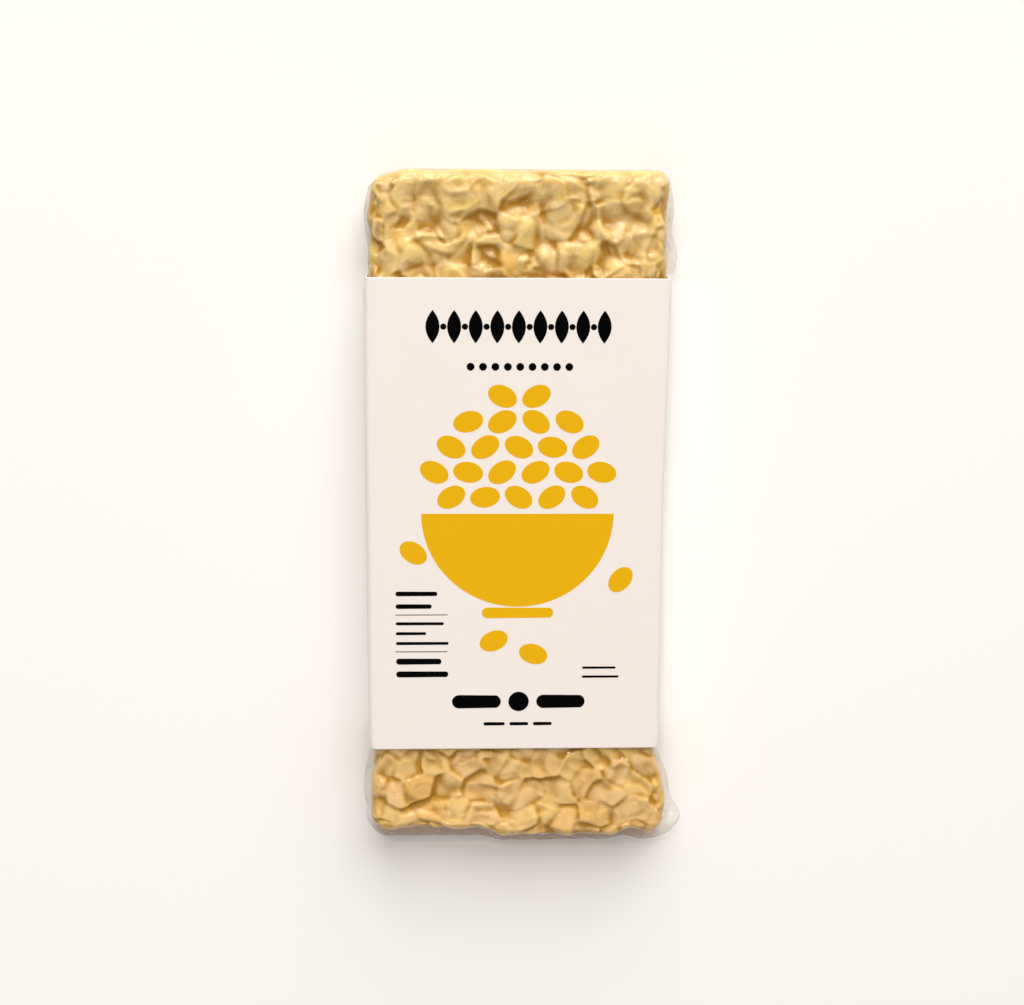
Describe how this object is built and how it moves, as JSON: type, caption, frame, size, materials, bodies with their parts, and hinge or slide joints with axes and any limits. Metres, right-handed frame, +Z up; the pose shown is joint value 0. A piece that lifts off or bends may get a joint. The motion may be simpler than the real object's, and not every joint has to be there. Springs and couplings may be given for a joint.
{
  "type": "packed tempeh cake",
  "caption": "Flat rectangular tempeh cake of pressed soya beans, vacuum-packed in clear film with a plain printed card sleeve round its middle.",
  "frame": {"origin": "middle of the card sleeve's back panel, on the face that the pack rests on", "axes": "+X across the pack to the right as its front is read, +Y along it towards the head end, +Z up out of the front"},
  "size_m": [0.0843, 0.1753, 0.0178],
  "materials": {
    "packed_tempeh": "pale yellow-tan split soya beans under clear glossy film",
    "sleeve_card": "uncoated warm white card, printed in golden yellow and black"
  },
  "bodies": {
    "root": {"vacuum_pack": "packed_tempeh", "card_sleeve": "sleeve_card"}
  },
  "joints": []
}
